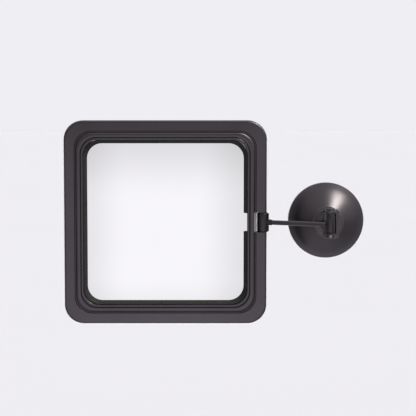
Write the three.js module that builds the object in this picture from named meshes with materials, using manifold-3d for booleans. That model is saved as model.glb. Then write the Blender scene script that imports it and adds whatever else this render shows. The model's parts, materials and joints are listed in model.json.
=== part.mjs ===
// Wall-mounted swing-arm shaving mirror.
// Millimetres. The wall is the plane Y = 0, the viewer stands on the -Y side, +Z is up.
// The origin is the centre of the wall plate's back face. The arm is folded back, the mirror hangs at -X.
import * as THREE from "three";
import { mergeVertices } from "three/addons/utils/BufferGeometryUtils.js";
import Module from "manifold-3d";

const wasm = await Module();
wasm.setup();

// ---- Driving dimensions ----

// Wall plate and rose. Heights are distances from the wall.
const ROSE_R = 37.95;
const ROSE_NECK_R = 13.9;
const ROSE_TOP = 24;
const ROSE_SHELL = 1.6;
const PLATE_R = 26;
const PLATE_THICK = 3;
const PLATE_RIM_TOP = 7;
const WALL_SCREW_X = 17;
const WALL_SCREW_HOLE_R = 2.25;
const GRUB_HEIGHT = 1.9;
const GRUB_R = 1;
const BOLT_R = 2.8;
const BOLT_END = 45.6;

// Collar and swivel fork.
const COLLAR_BACK = 24.3;
const COLLAR_FRONT = 36;
const COLLAR_R = 14.8;
const FORK_BACK = 36.3;
const FORK_THROAT = 48.4;
const FORK_TOP = 14.2;
const FORK_BOTTOM = -13.1;
const MOUTH_TOP = 11.4;
const MOUTH_BOTTOM = -8.3;
const WEB_INNER = 5.5;
const WEB_OUTER = 8.5;
const WEB_SETBACK = 1;
const EAR_R = 5.2;
const LOCK_SCREW_Z = -10.9;
const LOCK_SCREW_R = 1.4;

// Arm: a vertical barrel at the knuckle and a rod to the mirror, folded back towards the wall.
const KNUCKLE_HEIGHT = 55;
const PIVOT_R = 2;
const ARM_LENGTH = 70.6;
const ARM_FOLD_DEG = 24.8;
const ARM_BARREL_R = 4.5;
const ROD_R = 2.3;
const SPIGOT_R = 1.6;
const ROD_SHOULDER = 9.7;
const UPPER_WASHER = 1.8;
const LOWER_WASHER = 0.6;
const RIB_REACH = 10.4;
const RIB_THICK = 2.4;

// Mirror hinge.
const BARREL_R = 5.9;
const BARREL_HALF = 9.1;
const BOSS_R = 2.9;
const BOSS_END = 8.9;
const PIN_R = 1.5;
const PIN_HALF = 15;
const TILT_SCREW_AT = 7;
const AXIS_INSET = 3.5;
const AXIS_DEPTH = 5.5;

// Mirror frame. Insets run inwards from the outer edge, depths run back from the flange's front plane.
const FRAME_HALF_WIDE = 100;
const FRAME_HALF_TALL = 100.6;
const FRAME_DEPTH = 14;
const FLANGE_THICK = 2.6;
const SLOT_HALF = 9.8;
const SLOT_INSET = 12.6;
const NOTCH_HALF = 9.2;
const CORNER_R_OUTER = 19;
const CORNER_TAPER = 4 / 22.5;
const CORNER_STEPS = 7;
const LEDGE_DEPTH = 6.2;
const LEDGE_INSET = 19;
const RIB_OUTER = 15.8;
const LIP_INSET = 17.4;
const LIP_DEPTH = 10.2;
const POST_OFFSET = 88;

// Mirror fillings.
const GLASS_INSET = 17.7;
const GLASS_FRONT = 6.4;
const GLASS_BACK = 10.3;
const BEAD_INSET = 22.6;
const PAD_INSET = 19;
const COVER_INSET = 2.3;
const COVER_FRONT = 12.1;
const COVER_BACK = 13.6;
const SPRING_SCREW_X = FRAME_HALF_WIDE - 14;
const SPRING_SCREW_Z = 12.8;

// ---- Materials ----

const gunmetal = new THREE.MeshStandardMaterial({ color: 0x4a454b, roughness: 0.42, metalness: 0.8 });
const steel = new THREE.MeshStandardMaterial({ color: 0xa9a5a6, roughness: 0.35, metalness: 1 });
const mirror = new THREE.MeshStandardMaterial({ color: 0xf1f0f4, roughness: 0.03, metalness: 1 });
const nylon = new THREE.MeshStandardMaterial({ color: 0x2b292c, roughness: 0.6, metalness: 0 });
const rubber = new THREE.MeshStandardMaterial({ color: 0x1d1c1e, roughness: 0.85, metalness: 0 });
const foam = new THREE.MeshStandardMaterial({ color: 0xd8d7d3, roughness: 0.95, metalness: 0 });

// ---- Directions ----

const UP = new THREE.Vector3(0, 0, 1);
const DOWN = new THREE.Vector3(0, 0, -1);
const RIGHT = new THREE.Vector3(1, 0, 0);
const LEFT = new THREE.Vector3(-1, 0, 0);
const OUTWARD = new THREE.Vector3(0, -1, 0);
const BACKWARD = new THREE.Vector3(0, 1, 0);

// ---- Solid helpers ----

// A three.js geometry as a solid that can be joined and cut.
function toSolid(geometry) {
  const bare = geometry.clone();
  bare.deleteAttribute("normal");
  bare.deleteAttribute("uv");
  const merged = mergeVertices(bare, 1e-4);
  const mesh = new wasm.Mesh({
    numProp: 3,
    vertProperties: merged.attributes.position.array,
    triVerts: new Uint32Array(merged.index.array),
  });
  return new wasm.Manifold(mesh);
}

function toGeometry(solid) {
  const mesh = solid.getMesh();
  const positions = new Float32Array(mesh.numVert * 3);
  for (let i = 0; i < mesh.numVert; i++) {
    const start = i * mesh.numProp;
    positions.set(mesh.vertProperties.subarray(start, start + 3), i * 3);
  }
  const geometry = new THREE.BufferGeometry();
  geometry.setAttribute("position", new THREE.BufferAttribute(positions, 3));
  geometry.setIndex(new THREE.BufferAttribute(mesh.triVerts, 1));
  geometry.computeVertexNormals();
  return geometry;
}

// A turned solid. Profile points are [radius, distance along the axis].
// The outside runs along the axis, and the profile ends on the axis or closes on itself.
function turned(profile, axis, segments = 32, at = [0, 0, 0]) {
  const points = profile.map(([r, h]) => new THREE.Vector2(r, h));
  const geometry = new THREE.LatheGeometry(points, segments);
  const turn = new THREE.Quaternion().setFromUnitVectors(new THREE.Vector3(0, 1, 0), axis);
  geometry.applyQuaternion(turn);
  geometry.translate(...at);
  return toSolid(geometry);
}

function cylinder(radius, from, to, axis, segments = 24, at = [0, 0, 0]) {
  return turned([[0, from], [radius, from], [radius, to], [0, to]], axis, segments, at);
}

function washer(inner, outer, thick, axis) {
  const profile = [[inner, 0], [outer, 0], [outer, thick], [inner, thick], [inner, 0]];
  return turned(profile, axis, 24);
}

function box(minX, maxX, minY, maxY, minZ, maxZ) {
  const geometry = new THREE.BoxGeometry(maxX - minX, maxY - minY, maxZ - minZ);
  geometry.translate((minX + maxX) / 2, (minY + maxY) / 2, (minZ + maxZ) / 2);
  return toSolid(geometry);
}

// The cut that a hexagonal key fits, sunk from `top` along the axis.
function hexSocket(acrossCorners, depth, top, axis) {
  return cylinder(acrossCorners / 2, top - depth, top + 1, axis, 6);
}

// ---- Wall plate and rose, about the origin ----

function wallPlate() {
  const profile = [
    [0, 0],
    [PLATE_R, 0],
    [PLATE_R, PLATE_RIM_TOP],
    [PLATE_R - 2.2, PLATE_RIM_TOP],
    [PLATE_R - 2.2, PLATE_THICK],
    [0, PLATE_THICK],
  ];
  const sinkR = WALL_SCREW_HOLE_R + 2.2;
  const sink = [[0, 1.2], [WALL_SCREW_HOLE_R, 1.2], [sinkR, 3.4], [0, 3.4]];
  let plate = turned(profile, OUTWARD, 48);
  for (const x of [-WALL_SCREW_X, WALL_SCREW_X]) {
    plate = plate
      .subtract(cylinder(WALL_SCREW_HOLE_R, -1, 4, OUTWARD, 24, [x, 0, 0]))
      .subtract(turned(sink, OUTWARD, 24, [x, 0, 0]));
  }
  return plate;
}

// Outside of the rose from rim to neck, a shallow dome, as [radius, height].
const roseOutside = [
  [ROSE_R, 0],
  [ROSE_R, 3.2],
  [37.75, 4],
  [37.2, 4.8],
  [36.2, 5.8],
  [34.3, 7.7],
  [31.9, 9.9],
  [29, 12.2],
  [25.5, 14.7],
  [22, 17],
  [18.5, 19.2],
  [15.6, 20.95],
  [14.9, 21.5],
  [14.4, 22.2],
  [14.1, 23],
  [ROSE_NECK_R, ROSE_TOP],
];

// Inside of the rose from the flat under the neck down to the rim.
const roseInside = [
  [12.4, 21.6],
  [14.2, 19.8],
  [21.2, 15.5],
  [24.7, 13.2],
  [28, 10.8],
  [31, 8.5],
  [33.5, 6.3],
  [35.4, 4.2],
  [ROSE_R - ROSE_SHELL, 2.8],
  [ROSE_R - ROSE_SHELL, 0],
];

function rose() {
  const boltHole = BOLT_R + 0.4;
  const rim = [ROSE_R - ROSE_SHELL, 0];
  const shell = [rim, ...roseOutside, [boltHole, ROSE_TOP], [boltHole, 21.6], ...roseInside];
  const filled = turned([[0, 0], ...roseOutside, [0, ROSE_TOP]], OUTWARD, 64);
  const grubBoss = cylinder(1.8, PLATE_R + 0.4, 40, DOWN, 16, [0, -GRUB_HEIGHT, 0]);
  const grubHole = cylinder(GRUB_R + 0.15, 20, 41, DOWN, 16, [0, -GRUB_HEIGHT, 0]);
  return turned(shell, OUTWARD, 64).add(grubBoss.intersect(filled)).subtract(grubHole);
}

// Bears on the edge of the wall plate from below.
function roseGrubScrew() {
  const start = PLATE_R + 0.3;
  const end = ROSE_R - 1;
  return cylinder(GRUB_R, start, end, DOWN, 16).subtract(hexSocket(1.1, 1.6, end, DOWN));
}

// Passes from inside the rose through the collar into the fork.
function centreBolt() {
  const profile = [[0, 17.2], [4.6, 17.2], [4.6, 21.3], [BOLT_R, 21.3], [BOLT_R, BOLT_END], [0, BOLT_END]];
  return turned(profile, OUTWARD, 24).subtract(cylinder(2.9, 16, 19.4, OUTWARD, 6));
}

function collar() {
  const bore = BOLT_R + 0.4;
  const profile = [
    [bore, COLLAR_BACK],
    [ROSE_NECK_R - 0.4, COLLAR_BACK],
    [ROSE_NECK_R - 0.4, COLLAR_BACK + 1.4],
    [COLLAR_R - 0.3, COLLAR_BACK + 1.8],
    [COLLAR_R, COLLAR_BACK + 2.5],
    [COLLAR_R, COLLAR_FRONT - 2.2],
    [COLLAR_R - 0.3, COLLAR_FRONT - 1.2],
    [COLLAR_R - 1.1, COLLAR_FRONT - 0.3],
    [COLLAR_R - 2.2, COLLAR_FRONT],
    [bore, COLLAR_FRONT],
    [bore, COLLAR_BACK],
  ];
  return turned(profile, OUTWARD, 40);
}

// ---- Swivel fork, about the knuckle's pivot axis ----

// Plan outline seen from above: straight back, round nose about the pivot, web set back on the right.
function forkOutline() {
  const back = KNUCKLE_HEIGHT - FORK_BACK - 3;
  const corner = 1.2;
  const shape = new THREE.Shape();
  shape.moveTo(WEB_OUTER, back);
  shape.lineTo(-EAR_R, back);
  shape.lineTo(-EAR_R, 0);
  shape.absarc(0, 0, EAR_R, Math.PI, 2 * Math.PI, false);
  shape.lineTo(EAR_R, WEB_SETBACK);
  shape.lineTo(WEB_OUTER - corner, WEB_SETBACK);
  shape.absarc(WEB_OUTER - corner, WEB_SETBACK + corner, corner, 1.5 * Math.PI, 2 * Math.PI, false);
  shape.closePath();
  return shape;
}

// The fork's outline run from one height to another, its edges rounded off by `round`.
function forkBlock(bottom, top, round) {
  const geometry = new THREE.ExtrudeGeometry(forkOutline(), {
    depth: top - bottom - 2 * round,
    bevelEnabled: true,
    bevelThickness: round,
    bevelSize: round,
    bevelOffset: -round,
    bevelSegments: 2,
    curveSegments: 10,
  });
  geometry.translate(0, 0, bottom + round);
  return toSolid(geometry);
}

function swivelFork() {
  const foot = [
    [0, FORK_BACK],
    [11.2, FORK_BACK],
    [11.6, FORK_BACK + 0.5],
    [11.6, FORK_BACK + 3],
    [10.8, FORK_BACK + 4],
    [0, FORK_BACK + 4],
  ];
  const throat = KNUCKLE_HEIGHT - FORK_THROAT;
  const boltHole = cylinder(BOLT_R + 0.3, 30, BOLT_END + 0.4, OUTWARD, 24, [0, KNUCKLE_HEIGHT, 0]);
  const lockHole = cylinder(LOCK_SCREW_R + 0.1, PIVOT_R - 0.5, 8, OUTWARD, 16, [0, 0, LOCK_SCREW_Z]);
  return forkBlock(FORK_BOTTOM, 4, 1)
    .add(forkBlock(-4, FORK_TOP, 1))
    .add(turned(foot, OUTWARD, 40, [0, KNUCKLE_HEIGHT, 0]))
    .subtract(box(-20, WEB_INNER, -20, throat, MOUTH_BOTTOM, MOUTH_TOP))
    .subtract(cylinder(PIVOT_R + 0.2, -20, 20, UP, 20))
    .subtract(lockHole)
    .subtract(boltHole);
}

function pivotScrew() {
  const seat = FORK_TOP + 0.2;
  const profile = [
    [0, FORK_BOTTOM - 0.5],
    [PIVOT_R - 0.5, FORK_BOTTOM - 0.5],
    [PIVOT_R, FORK_BOTTOM],
    [PIVOT_R, seat],
    [4, seat],
    [4, seat + 1],
    [3.5, seat + 1.6],
    [2.6, seat + 2],
    [0, seat + 2],
  ];
  return turned(profile, UP, 24).subtract(hexSocket(2.9, 1.3, seat + 2, UP));
}

// Sits in the nose of the lower ear and bears on the pivot screw's shank.
function pivotLockScrew() {
  const end = EAR_R - 0.5;
  return cylinder(LOCK_SCREW_R, PIVOT_R + 0.1, end, OUTWARD, 16).subtract(hexSocket(1.5, 1.2, end, OUTWARD));
}

// ---- Arm, about the pivot axis with the rod along +X ----

const ARM_BARREL_TOP = MOUTH_TOP - UPPER_WASHER - 0.2;
const ARM_BARREL_BOTTOM = MOUTH_BOTTOM + LOWER_WASHER + 0.2;

function armBarrel() {
  const bore = PIVOT_R + 0.3;
  const profile = [
    [bore, ARM_BARREL_BOTTOM],
    [ARM_BARREL_R - 0.4, ARM_BARREL_BOTTOM],
    [ARM_BARREL_R, ARM_BARREL_BOTTOM + 0.4],
    [ARM_BARREL_R, ARM_BARREL_TOP - 0.4],
    [ARM_BARREL_R - 0.4, ARM_BARREL_TOP],
    [bore, ARM_BARREL_TOP],
    [bore, ARM_BARREL_BOTTOM],
  ];
  return turned(profile, UP, 28).subtract(cylinder(SPIGOT_R + 0.2, 1, 6, RIGHT, 16));
}

// A three-sided rib that props the rod against the barrel from below.
function armRib() {
  const outline = new THREE.Shape([
    new THREE.Vector2(2, 0),
    new THREE.Vector2(2, ARM_BARREL_BOTTOM + 0.2),
    new THREE.Vector2(ARM_BARREL_R + 0.2, ARM_BARREL_BOTTOM + 0.2),
    new THREE.Vector2(RIB_REACH, -2),
    new THREE.Vector2(RIB_REACH, 0),
  ]);
  const geometry = new THREE.ExtrudeGeometry(outline, { depth: RIB_THICK, bevelEnabled: false });
  geometry.translate(0, 0, -RIB_THICK / 2);
  geometry.rotateX(Math.PI / 2);
  return toSolid(geometry);
}

// The rod has a thin spigot at each end, and its end at the knuckle is hollowed to fit the barrel.
function armRod() {
  const shaft = cylinder(ROD_R, 2, ARM_LENGTH - ROD_SHOULDER, RIGHT, 24).add(armRib());
  const spigots = cylinder(SPIGOT_R, 2.8, ARM_LENGTH - 3, RIGHT, 16);
  return shaft.subtract(cylinder(ARM_BARREL_R + 0.2, -10, 10, UP, 28)).add(spigots);
}

// ---- Tilt head, about the mirror's hinge axis with the rod on its -X side ----

function pivotBarrel() {
  const body = [
    [0, -BARREL_HALF],
    [BARREL_R - 0.5, -BARREL_HALF],
    [BARREL_R, -BARREL_HALF + 0.5],
    [BARREL_R, BARREL_HALF - 0.5],
    [BARREL_R - 0.5, BARREL_HALF],
    [0, BARREL_HALF],
  ];
  const boss = [[0, 0], [BOSS_R, 0], [BOSS_R, BOSS_END - 0.3], [BOSS_R - 0.3, BOSS_END], [0, BOSS_END]];
  return turned(body, UP, 32)
    .add(turned(boss, LEFT, 24))
    .subtract(cylinder(PIN_R + 0.2, -12, 12, UP, 16))
    .subtract(cylinder(SPIGOT_R + 0.2, 2.7, 12, LEFT, 16))
    .subtract(cylinder(1, 0, 5, DOWN, 12, [-TILT_SCREW_AT, 0, 0]));
}

function tiltGrubScrew() {
  return cylinder(0.85, SPIGOT_R + 0.15, BOSS_R - 0.2, DOWN, 12);
}

function hingePin() {
  const profile = [
    [0, -PIN_HALF],
    [PIN_R - 0.3, -PIN_HALF],
    [PIN_R, -PIN_HALF + 0.3],
    [PIN_R, PIN_HALF - 0.3],
    [PIN_R - 0.3, PIN_HALF],
    [0, PIN_HALF],
  ];
  return turned(profile, UP, 16);
}

// ---- Mirror frame, about the centre of the flange's front plane with +Y running back ----

// The rounded square at an inset from the frame's outer edge, as [x, z].
function squarePath(inset) {
  const radius = CORNER_R_OUTER - CORNER_TAPER * inset;
  const centreX = FRAME_HALF_WIDE - inset - radius;
  const centreZ = FRAME_HALF_TALL - inset - radius;
  const path = [];
  for (let quarter = 0; quarter < 4; quarter++) {
    const middle = Math.PI / 4 + (quarter * Math.PI) / 2;
    const cx = Math.sign(Math.cos(middle)) * centreX;
    const cz = Math.sign(Math.sin(middle)) * centreZ;
    for (let step = 0; step <= CORNER_STEPS; step++) {
      const angle = (Math.PI / 2) * (quarter + step / CORNER_STEPS);
      path.push([cx + radius * Math.cos(angle), cz + radius * Math.sin(angle)]);
    }
  }
  return path;
}

// A closed [inset, depth] section carried round the frame's square.
function squareRing(section) {
  const loops = section.map(([inset]) => squarePath(inset));
  const around = loops[0].length;
  const positions = [];
  section.forEach(([, depth], i) => {
    for (const [x, z] of loops[i]) positions.push(x, depth, z);
  });
  const indices = [];
  for (let i = 0; i < section.length; i++) {
    const next = (i + 1) % section.length;
    for (let j = 0; j < around; j++) {
      const a = i * around + j;
      const b = i * around + ((j + 1) % around);
      const c = next * around + j;
      const d = next * around + ((j + 1) % around);
      indices.push(a, b, c, b, d, c);
    }
  }
  const geometry = new THREE.BufferGeometry();
  geometry.setAttribute("position", new THREE.Float32BufferAttribute(positions, 3));
  geometry.setIndex(indices);
  return toSolid(geometry);
}

// A flat rounded-square slab, its front face on Y = 0.
function squareSlab(inset, thick) {
  const outline = squarePath(inset).map(([x, z]) => new THREE.Vector2(x, -z));
  const shape = new THREE.Shape(outline);
  const geometry = new THREE.ExtrudeGeometry(shape, { depth: thick, bevelEnabled: false });
  geometry.rotateX(-Math.PI / 2);
  return toSolid(geometry);
}

// A box on the hinge side of the frame: insets across, depths back, heights up.
function sideBox(insetA, insetB, depthA, depthB, minZ, maxZ) {
  return box(FRAME_HALF_WIDE - insetB, FRAME_HALF_WIDE - insetA, depthA, depthB, minZ, maxZ);
}

// Section of the frame: skirt, slightly sloped flange, groove, raised band, ridge, ledge, lip, hollow.
const frameSection = [
  [0, FRAME_DEPTH],
  [0, 2.4],
  [0.25, 1.5],
  [0.8, 0.85],
  [1.5, 0.5],
  [2.3, 0.36],
  [10.2, 0],
  [10.5, 0.5],
  [10.7, 1.2],
  [11.5, 1.2],
  [11.8, 0.4],
  [12.2, -0.2],
  [12.8, -0.6],
  [13.6, -0.9],
  [14.5, -1],
  [15.3, -1],
  [16, -0.9],
  [16.4, -0.7],
  [16.7, -1.3],
  [16.95, -2],
  [17.25, -2.45],
  [17.8, -2.6],
  [18.5, -2.6],
  [18.85, -2.4],
  [18.98, -1.6],
  [LEDGE_INSET, 0.5],
  [LEDGE_INSET, LEDGE_DEPTH],
  [LIP_INSET, LEDGE_DEPTH],
  [LIP_INSET, LIP_DEPTH],
  [RIB_OUTER, LIP_DEPTH],
  [RIB_OUTER, FLANGE_THICK],
  [2, FLANGE_THICK],
  [2, FRAME_DEPTH],
];

const coverCorners = [
  ["upper_right", 1, 1],
  ["upper_left", -1, 1],
  ["lower_left", -1, -1],
  ["lower_right", 1, -1],
];

function mirrorFrame() {
  let frame = squareRing(frameSection);
  for (const [, sideX, sideZ] of coverCorners) {
    const place = [sideX * POST_OFFSET, 0, sideZ * POST_OFFSET];
    frame = frame
      .add(cylinder(3, 2, COVER_FRONT - 0.3, BACKWARD, 16, place))
      .subtract(cylinder(1.25, 4.5, 20, BACKWARD, 12, place));
  }
  for (const side of [-1, 1]) {
    const near = side * SLOT_HALF;
    const far = side * (PIN_HALF + 1);
    const pinLug = sideBox(0.6, 7.2, 1.5, 9.6, Math.min(near, far), Math.max(near, far));
    const springHole = [SPRING_SCREW_X, 0, side * SPRING_SCREW_Z];
    frame = frame.add(pinLug).subtract(cylinder(1.15, 0, 5, BACKWARD, 12, springHole));
  }
  const pinPlace = [FRAME_HALF_WIDE - AXIS_INSET, AXIS_DEPTH, 0];
  return frame
    .subtract(sideBox(-2, SLOT_INSET, -6, 20, -SLOT_HALF, SLOT_HALF))
    .subtract(sideBox(SLOT_INSET - 1, 24, 0.7, 20, -NOTCH_HALF, NOTCH_HALF))
    .subtract(cylinder(PIN_R + 0.15, -20, 20, UP, 16, pinPlace));
}

// A spring strip behind the flange whose bent lip bears on the pivot barrel.
function frictionSpring() {
  return sideBox(9.8, 15.4, 2.8, 3.8, -15.4, 15.4)
    .add(sideBox(9.8, 10.6, 2.8, 8, -8.6, 8.6))
    .subtract(cylinder(1.2, 2, 5, BACKWARD, 12, [SPRING_SCREW_X, 0, SPRING_SCREW_Z]))
    .subtract(cylinder(1.2, 2, 5, BACKWARD, 12, [SPRING_SCREW_X, 0, -SPRING_SCREW_Z]));
}

function springScrew() {
  const profile = [[0, 0.2], [0.95, 0.2], [0.95, 4], [1.45, 4], [1.45, 4.7], [1, 5.1], [0, 5.1]];
  return turned(profile, BACKWARD, 12);
}

// A rubber bead in the corner between the ridge and the glass, left out where the notch shows the glass.
function glassGasket() {
  const outer = LEDGE_INSET + 0.15;
  const bead = squareRing([
    [outer, LEDGE_DEPTH],
    [outer, 0.9],
    [outer + 0.4, 0.8],
    [BEAD_INSET - 0.1, 5.6],
    [BEAD_INSET, LEDGE_DEPTH],
  ]);
  return bead.subtract(sideBox(15, 26, -2, 10, -NOTCH_HALF, NOTCH_HALF));
}

function backCover() {
  let cover = squareSlab(COVER_INSET, COVER_BACK - COVER_FRONT);
  for (const [, sideX, sideZ] of coverCorners) {
    const place = [sideX * POST_OFFSET, 0, sideZ * POST_OFFSET];
    cover = cover.subtract(cylinder(1.5, -5, 5, BACKWARD, 16, place));
  }
  return cover.subtract(sideBox(-2, SLOT_INSET, -5, 5, -SLOT_HALF, SLOT_HALF));
}

// A cross-head screw whose head seats on Y = 0 and whose shank runs forward.
function coverScrew() {
  const profile = [[0, -7.6], [1.05, -7.6], [1.05, 0], [2.5, 0], [2.4, 0.7], [1.6, 1.2], [0, 1.3]];
  return turned(profile, BACKWARD, 16)
    .subtract(box(-1.5, 1.5, 0.7, 3, -0.3, 0.3))
    .subtract(box(-0.3, 0.3, 0.7, 3, -1.5, 1.5));
}

// ---- Assembly: wall mount, arm on its knuckle, tilt head on the rod, mirror on the tilt head ----

const FOLD = THREE.MathUtils.degToRad(ARM_FOLD_DEG);

const group = new THREE.Group();

const knuckle = new THREE.Group();
knuckle.position.set(0, -KNUCKLE_HEIGHT, 0);
group.add(knuckle);

const arm = new THREE.Group();
arm.rotation.z = Math.PI - FOLD;
knuckle.add(arm);

const tiltHead = new THREE.Group();
tiltHead.position.set(ARM_LENGTH, 0, 0);
arm.add(tiltHead);

const mirrorHinge = new THREE.Group();
mirrorHinge.rotation.z = -arm.rotation.z;
tiltHead.add(mirrorHinge);

const face = new THREE.Group();
face.position.set(AXIS_INSET - FRAME_HALF_WIDE, -AXIS_DEPTH, 0);
mirrorHinge.add(face);

function add(parent, name, solid, material, x = 0, y = 0, z = 0) {
  const mesh = new THREE.Mesh(toGeometry(solid), material);
  mesh.name = name;
  mesh.position.set(x, y, z);
  parent.add(mesh);
}

add(group, "wall_plate", wallPlate(), steel);
add(group, "rose", rose(), gunmetal);
add(group, "rose_grub_screw", roseGrubScrew(), steel, 0, -GRUB_HEIGHT, 0);
add(group, "centre_bolt", centreBolt(), steel);
add(group, "collar", collar(), gunmetal);

add(knuckle, "swivel_fork", swivelFork(), gunmetal);
add(knuckle, "pivot_screw", pivotScrew(), gunmetal);
add(knuckle, "pivot_lock_screw", pivotLockScrew(), steel, 0, 0, LOCK_SCREW_Z);

const upperWasher = washer(PIVOT_R + 0.3, 4.2, UPPER_WASHER, UP);
const lowerWasher = washer(PIVOT_R + 0.3, 4.2, LOWER_WASHER, UP);
add(arm, "arm_barrel", armBarrel(), gunmetal);
add(arm, "arm_rod", armRod(), gunmetal);
add(arm, "pivot_washer_upper", upperWasher, nylon, 0, 0, ARM_BARREL_TOP + 0.1);
add(arm, "pivot_washer_lower", lowerWasher, nylon, 0, 0, MOUTH_BOTTOM + 0.1);
add(arm, "tilt_washer", washer(SPIGOT_R + 0.2, 2.6, 0.6, LEFT), nylon, ARM_LENGTH - 9, 0, 0);

add(tiltHead, "pivot_barrel", pivotBarrel(), gunmetal);
add(tiltHead, "tilt_grub_screw", tiltGrubScrew(), steel, -TILT_SCREW_AT, 0, 0);

const pinWasher = washer(PIN_R + 0.2, 4.4, 0.5, UP);
add(mirrorHinge, "hinge_pin", hingePin(), steel);
add(mirrorHinge, "pin_washer_upper", pinWasher, nylon, 0, 0, BARREL_HALF + 0.1);
add(mirrorHinge, "pin_washer_lower", pinWasher, nylon, 0, 0, -SLOT_HALF + 0.1);

add(face, "mirror_frame", mirrorFrame(), gunmetal);
add(face, "glass_gasket", glassGasket(), rubber);
add(face, "mirror_glass", squareSlab(GLASS_INSET, GLASS_BACK - GLASS_FRONT), mirror, 0, GLASS_FRONT, 0);
add(face, "glass_pad", squareSlab(PAD_INSET, 1.2), foam, 0, GLASS_BACK + 0.3, 0);
add(face, "friction_spring", frictionSpring(), steel);

add(face, "spring_screw_upper", springScrew(), steel, SPRING_SCREW_X, 0, SPRING_SCREW_Z);
add(face, "spring_screw_lower", springScrew(), steel, SPRING_SCREW_X, 0, -SPRING_SCREW_Z);

add(face, "back_cover", backCover(), gunmetal, 0, COVER_FRONT, 0);
for (const [corner, sideX, sideZ] of coverCorners) {
  const name = "cover_screw_" + corner;
  add(face, name, coverScrew(), steel, sideX * POST_OFFSET, COVER_BACK + 0.2, sideZ * POST_OFFSET);
}

export default group;
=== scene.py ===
# Wall-mounted swing-arm shaving mirror: fine pieces, materials, light and camera.
# Lengths inside the helpers are millimetres; a mesh is brought to metres when it becomes a piece.
import json
import math

import bmesh
import bpy
from mathutils import Matrix, Vector


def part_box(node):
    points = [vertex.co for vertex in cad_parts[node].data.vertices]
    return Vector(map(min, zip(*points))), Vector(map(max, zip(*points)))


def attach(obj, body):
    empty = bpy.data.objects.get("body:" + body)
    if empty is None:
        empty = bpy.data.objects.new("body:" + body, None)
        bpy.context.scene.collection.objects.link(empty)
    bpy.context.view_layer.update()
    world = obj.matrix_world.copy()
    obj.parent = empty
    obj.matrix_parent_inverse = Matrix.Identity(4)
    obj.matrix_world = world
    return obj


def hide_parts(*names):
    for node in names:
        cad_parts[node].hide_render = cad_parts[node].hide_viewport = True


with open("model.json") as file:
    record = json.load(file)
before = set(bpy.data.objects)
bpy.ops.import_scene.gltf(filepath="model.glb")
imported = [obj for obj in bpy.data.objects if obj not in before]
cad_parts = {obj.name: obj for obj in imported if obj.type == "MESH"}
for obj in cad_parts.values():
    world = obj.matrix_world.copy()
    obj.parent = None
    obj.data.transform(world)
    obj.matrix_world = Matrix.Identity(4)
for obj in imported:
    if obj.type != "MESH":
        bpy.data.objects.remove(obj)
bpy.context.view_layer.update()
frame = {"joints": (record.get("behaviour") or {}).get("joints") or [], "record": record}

MM = 0.001
X = Vector((1, 0, 0))
Y = Vector((0, 1, 0))
Z = Vector((0, 0, 1))
ORIGIN = Vector((0, 0, 0))

scene = bpy.context.scene

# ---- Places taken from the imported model, in millimetres ----

joint_at = {j["name"]: Vector(j["pos_m"]) / MM for j in frame["joints"]}
KNUCKLE = joint_at["arm_swing"]
HINGE = joint_at["mirror_swing"]
ROD = (HINGE - KNUCKLE).normalized()
ARM_LENGTH = (HINGE - KNUCKLE).length


def cad_box(node):
    """A CAD node's lowest and highest corners."""
    low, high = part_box(node)
    return low / MM, high / MM


def back_centre(node):
    """The middle of a CAD node's back, where it meets the wall."""
    low, high = cad_box(node)
    return Vector(((low.x + high.x) / 2, high.y, (low.z + high.z) / 2))


body_of = {
    node: body
    for body, nodes in frame["record"]["behaviour"]["bodies"].items()
    for node in nodes
}

# ---- Profile helpers ----


def arc_corner(before, corner, after, radius, steps):
    """Points of the arc that rounds a corner between two straight runs."""
    to_before = (before - corner).normalized()
    to_after = (after - corner).normalized()
    half = to_before.angle(to_after) / 2
    reach = radius / math.tan(half)
    centre = corner + (to_before + to_after).normalized() * (radius / math.sin(half))
    start = corner + to_before * reach - centre
    end = corner + to_after * reach - centre
    sweep = start.angle_signed(end)
    points = []
    for step in range(steps + 1):
        points.append(centre + Matrix.Rotation(-sweep * step / steps, 2) @ start)
    return points


def rounded(points, closed=True, steps=4):
    """A path through (u, v) or (u, v, radius) points, with an arc at each corner with a radius."""
    count = len(points)
    flat = [Vector(p[:2]) for p in points]
    path = []
    for i, point in enumerate(points):
        inside = closed or 0 < i < count - 1
        if len(point) == 3 and inside:
            path += arc_corner(flat[i - 1], flat[i], flat[(i + 1) % count], point[2], steps)
        else:
            path.append(flat[i])
    return [tuple(p) for p in path]


def smooth_curve(points, steps=4):
    """A Catmull-Rom curve through the points."""
    p = [Vector(points[0])] + [Vector(q) for q in points] + [Vector(points[-1])]
    curve = []
    for i in range(1, len(p) - 2):
        for step in range(steps):
            t = step / steps
            ahead = p[i + 1] - p[i - 1]
            bend = 2 * p[i - 1] - 5 * p[i] + 4 * p[i + 1] - p[i + 2]
            twist = 3 * p[i] - p[i - 1] - 3 * p[i + 1] + p[i + 2]
            curve.append(p[i] + 0.5 * (ahead * t + bend * t * t + twist * t * t * t))
    curve.append(p[-2])
    return [tuple(q) for q in curve]


# ---- Mesh helpers ----

WELD_DISTANCE = 1e-4
ON_AXIS = 1e-6
SHARP_EDGE = math.radians(40)


def to_mesh(bm):
    """Turns a bmesh into a welded mesh whose faces look outwards."""
    bmesh.ops.remove_doubles(bm, verts=bm.verts, dist=WELD_DISTANCE)
    bmesh.ops.recalc_face_normals(bm, faces=bm.faces)
    mesh = bpy.data.meshes.new("solid")
    bm.to_mesh(mesh)
    bm.free()
    return mesh


def skin(bm, ring_a, ring_b):
    """Faces between two rings, either of which may be a single point."""
    count = max(len(ring_a), len(ring_b))
    for i in range(count):
        j = (i + 1) % count
        corners = [
            ring_a[i % len(ring_a)],
            ring_a[j % len(ring_a)],
            ring_b[j % len(ring_b)],
            ring_b[i % len(ring_b)],
        ]
        unique = list(dict.fromkeys(corners))
        if len(unique) > 2:
            bm.faces.new(unique)


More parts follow.
